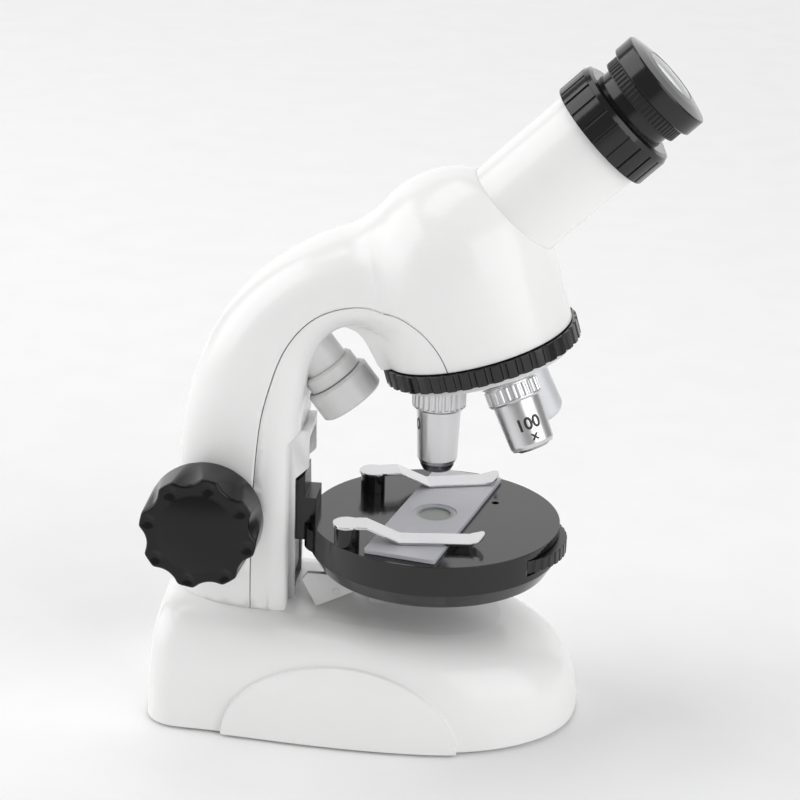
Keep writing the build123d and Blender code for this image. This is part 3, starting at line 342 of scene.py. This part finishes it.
def drum_distance(point):
    """Height along the turret's axis, distance outside the head's domed drum, and the way out of it."""
    offset = point - Vector(TURRET["pos_m"])
    axis = Vector(TURRET["axis"])
    height = offset.dot(axis)
    away = offset - axis * min(height, HEAD_DOME_HEIGHT)
    return height, away.length - HEAD_RADIUS, away.normalized()


def welded(node):
    shape = bmesh.new()
    shape.from_mesh(nodes[node].data)
    bmesh.ops.remove_doubles(shape, verts=shape.verts[:], dist=WELD)
    bmesh.ops.dissolve_degenerate(shape, edges=shape.edges[:], dist=TINY_EDGE)
    return shape


def near_corner(point):
    height, away, _ = drum_distance(point)
    behind = Vector(TURRET["pos_m"]).x + height * Vector(TURRET["axis"]).x - point.x
    return height > BLEND_START and abs(away) < BLEND_REACH + 2 * MM and behind > -BLEND_FRONT


def refine(shape):
    """Splits the long edges near the corner until the fillet can follow them."""
    for _ in range(MAX_SPLITS):
        long_edges = [edge for edge in shape.edges
                      if edge.calc_length() > FINE_EDGE
                      and any(near_corner(p) for p in (edge.verts[0].co, edge.verts[1].co,
                                                       (edge.verts[0].co + edge.verts[1].co) / 2))]
        if not long_edges:
            break
        bmesh.ops.subdivide_edges(shape, edges=long_edges, cuts=1)
        bmesh.ops.triangulate(shape, faces=[face for face in shape.faces if len(face.verts) > 4])


def on_drum(point):
    return abs(drum_distance(point)[1]) < ON_DRUM


def outward_normals(shape, tree):
    """Normal of the outer skin at each vertex, leaving out faces that close on to another face."""
    skin = set()
    for face in shape.faces:
        if not near_corner(face.calc_center_median()):
            continue
        start = face.calc_center_median() + face.normal * SKIN_LIFT
        if tree.ray_cast(start, face.normal, SKIN_GAP)[0] is None:
            skin.add(face.index)
    normals = {}
    for vertex in shape.verts:
        total = Vector((0, 0, 0))
        for face in vertex.link_faces:
            if face.index in skin:
                total += face.normal * face.calc_area()
        if total.length > 0:
            normals[vertex.index] = total.normalized()
    return normals


def fillet(names):
    """Fills the sharp corner between arm and head, moving only the outer skin of the named shells."""
    shapes = {name: welded(name) for name in names}
    arm_side = bmesh.new()
    whole = bmesh.new()
    for name in names:
        whole.from_mesh(nodes[name].data)
        arm_side.from_mesh(nodes[name].data)
    drum_faces = [face for face in arm_side.faces
                  if all(on_drum(v.co) for v in face.verts) or not near_corner(face.calc_center_median())
                  or drum_distance(face.calc_center_median())[1] < -ON_DRUM]
    bmesh.ops.delete(arm_side, geom=drum_faces, context="FACES")
    tree = BVHTree.FromBMesh(whole)
    arm_tree = BVHTree.FromBMesh(arm_side)
    for name, shape in shapes.items():
        refine(shape)
        shape.normal_update()
        shape.verts.index_update()
        shape.faces.index_update()
        shape.verts.ensure_lookup_table()
        moves = {}
        for index, normal in outward_normals(shape, tree).items():
            point = shape.verts[index].co
            height, away, drum_normal = drum_distance(point)
            if away < -ON_DRUM or not near_corner(point):
                continue
            if away < ON_DRUM:
                _, other, _, gap = arm_tree.find_nearest(point)
                normal = drum_normal
            else:
                other, gap = drum_normal, away
            share = 1 - gap / BLEND_REACH
            if share <= 0 or other.dot(normal) < -0.2:
                continue
            rise = min(max((height - BLEND_START) / (BLEND_FULL - BLEND_START), 0.0), 1.0)
            amount = BLEND_REACH / 4 * share * share * rise * rise * (3 - 2 * rise)
            moves[index] = (normal + share * other) * amount / (1 + share * normal.dot(other))
        for index, move in moves.items():
            shape.verts[index].co += move
        mesh = bpy.data.meshes.new(name + "_shape")
        shape.to_mesh(mesh)
        obj = new_object(name + "_blended", mesh, WHITE, "frame")
        mesh.set_sharp_from_angle(angle=radians(SHARP_ANGLE))
        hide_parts(name)
    for shape in list(shapes.values()) + [arm_side, whole]:
        shape.free()


# ---------------------------------------------------------------- printed magnifications
PRINT = surface("printed_ink", (0.015, 0.015, 0.016), (0.03, 0.03, 0.032), (0.35, 0.5), 2500, 0.2)
PRINT_PROUD = 0.05 * MM
BARREL_TAPER = 0.04                # radius lost per length towards the tip
PRINT_STEP = 0.3 * MM              # width of the strips that a word is cut into
PRINT_WEIGHT = 0.028               # thickens the strokes, as a share of the letter size
WORKING_REACH = 32.6 * MM          # of the working barrel, below the ring's lower edge
PRINTS = (
    # name, words, height, depth below the ring, barrel radius there, degrees round the barrel, turret's turn
    ("near_number", "100", 4.0 * MM, 20.0 * MM, 7.23 * MM, 22.0, 120.0),
    ("near_times", "x", 2.1 * MM, 24.5 * MM, 7.05 * MM, 24.0, 120.0),
    ("working_number", "0", 4.0 * MM, 19.5 * MM, 6.83 * MM, -63.0, 0.0),
)


def flat_print(words, height):
    """Mesh of the words, centred on the origin in XY and cut into narrow strips so that it can be wrapped."""
    curve = bpy.data.curves.new("print_curve", "FONT")
    curve.body = words
    curve.extrude = PRINT_PROUD
    curve.offset = PRINT_WEIGHT
    source = bpy.data.objects.new("print_source", curve)
    bpy.context.scene.collection.objects.link(source)
    bpy.context.view_layer.update()
    mesh = bpy.data.meshes.new_from_object(source.evaluated_get(bpy.context.evaluated_depsgraph_get()))
    bpy.data.objects.remove(source)
    bpy.data.curves.remove(curve)
    low = [min(v.co[k] for v in mesh.vertices) for k in (0, 1)]
    high = [max(v.co[k] for v in mesh.vertices) for k in (0, 1)]
    scale = height / (high[1] - low[1])
    for v in mesh.vertices:
        v.co.x = (v.co.x - (low[0] + high[0]) / 2) * scale
        v.co.y = (v.co.y - (low[1] + high[1]) / 2) * scale
    half = (high[0] - low[0]) / 2 * scale
    cut = bmesh.new()
    cut.from_mesh(mesh)
    for k in range(1, int(2 * half / PRINT_STEP)):
        geometry = cut.verts[:] + cut.edges[:] + cut.faces[:]
        place = (k * PRINT_STEP - half, 0, 0)
        bmesh.ops.bisect_plane(cut, geom=geometry, plane_co=place, plane_no=(1, 0, 0))
    cut.to_mesh(mesh)
    cut.free()
    return mesh


def add_prints():
    """Wraps each word round its barrel, following the taper."""
    low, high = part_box("objective_working_barrel")
    down = Vector((0, 0, -1))
    ring_level = Vector(((low.x + high.x) / 2, 0, low.z + WORKING_REACH))
    pivot = Vector(TURRET["pos_m"])
    for name, words, height, depth, radius, facing, turn in PRINTS:
        spin = Matrix.Rotation(radians(turn), 3, Vector(TURRET["axis"]))
        axis = spin @ down
        start = pivot + spin @ (ring_level - pivot)
        front = (Vector((0, -1, 0)) + axis * axis.y).normalized()
        side = -axis.cross(front)
        mesh = flat_print(words, height)
        for v in mesh.vertices:
            angle = radians(facing) + v.co.x / radius
            outward = cos(angle) * front + sin(angle) * side
            v.co = start + axis * (depth - v.co.y) + outward * (radius + v.co.z + v.co.y * BARREL_TAPER)
        new_object(name, mesh, PRINT, "turret")


add_prints()
make_knob("focus_knob_near")
make_knob("focus_knob_far")
fillet(("arm_head_shell", "arm_front_cover"))


# ---------------------------------------------------------------- floor, light and camera
AXIS_X = sum(corner.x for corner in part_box("objective_working_barrel")) / 2
CAMERA_ANGLES = (5.5, 20.4, 1.7)  # degrees: azimuth from the near side, elevation, roll
CAMERA_TARGET = (AXIS_X - 12.5 * MM, 0.0, 104.5 * MM)
CAMERA_DISTANCE = 0.7571
CAMERA_LENS = 107.2
SENSOR_WIDTH = 36.0
FLOOR_SIZE = 6.0
LIGHT_TARGET = (0, 0, 0.11)
WORLD_STRENGTH = 0.30
LIGHTS = (
    # name, place, width and height, radiance
    ("left_panel", (-1.5, -0.05, 0.75), (1.8, 1.5), 2.1),
    ("right_panel", (1.24, -0.84, 0.75), (1.8, 1.5), 2.0),
    ("top_softbox", (-0.30, 0.24, 1.4), (1.3, 0.65), 2.0),
    ("back_panel", (0.0, 1.7, 0.7), (3.0, 1.8), 0.82),
)


def add_stage():
    bpy.ops.mesh.primitive_plane_add(size=FLOOR_SIZE, location=(0, 0, 0))
    floor = bpy.context.object
    floor.name = "studio_floor"
    paper = surface("floor_paper", (0.90, 0.90, 0.90), (0.92, 0.92, 0.92), (0.85, 0.95), 60, 0.05)
    paint(floor, paper)


def area_light(name, place, target, size, radiance):
    data = bpy.data.lights.new(name, "AREA")
    data.shape = "RECTANGLE"
    data.size, data.size_y = size
    data.energy = radiance * pi * size[0] * size[1]
    light = bpy.data.objects.new(name, data)
    light.location = place
    light.rotation_euler = (Vector(target) - Vector(place)).to_track_quat("-Z", "Y").to_euler()
    bpy.context.scene.collection.objects.link(light)


def add_lights():
    world = bpy.data.worlds.new("studio")
    bpy.context.scene.world = world
    world.use_nodes = True
    world.node_tree.nodes["Background"].inputs["Color"].default_value = (1, 1, 1, 1)
    world.node_tree.nodes["Background"].inputs["Strength"].default_value = WORLD_STRENGTH
    for name, place, size, radiance in LIGHTS:
        area_light(name, place, LIGHT_TARGET, size, radiance)


def add_camera():
    """The photograph's view: almost square on to the near side, a little from the front and above."""
    data = bpy.data.cameras.new("camera")
    data.sensor_width = SENSOR_WIDTH
    data.lens = CAMERA_LENS
    camera = bpy.data.objects.new("camera", data)
    azimuth, elevation, roll = (radians(angle) for angle in CAMERA_ANGLES)
    back = Vector((sin(azimuth) * cos(elevation), -cos(azimuth) * cos(elevation), sin(elevation)))
    right = Vector((cos(azimuth), sin(azimuth), 0))
    up = back.cross(right)
    turned_right = cos(roll) * right + sin(roll) * up
    turned_up = cos(roll) * up - sin(roll) * right
    place = Vector(CAMERA_TARGET) + back * CAMERA_DISTANCE
    camera.matrix_world = Matrix((
        (turned_right.x, turned_up.x, back.x, place.x),
        (turned_right.y, turned_up.y, back.y, place.y),
        (turned_right.z, turned_up.z, back.z, place.z),
        (0, 0, 0, 1),
    ))
    bpy.context.scene.collection.objects.link(camera)
    bpy.context.scene.camera = camera


add_stage()
add_lights()
add_camera()
bpy.context.scene.view_settings.view_transform = "Standard"
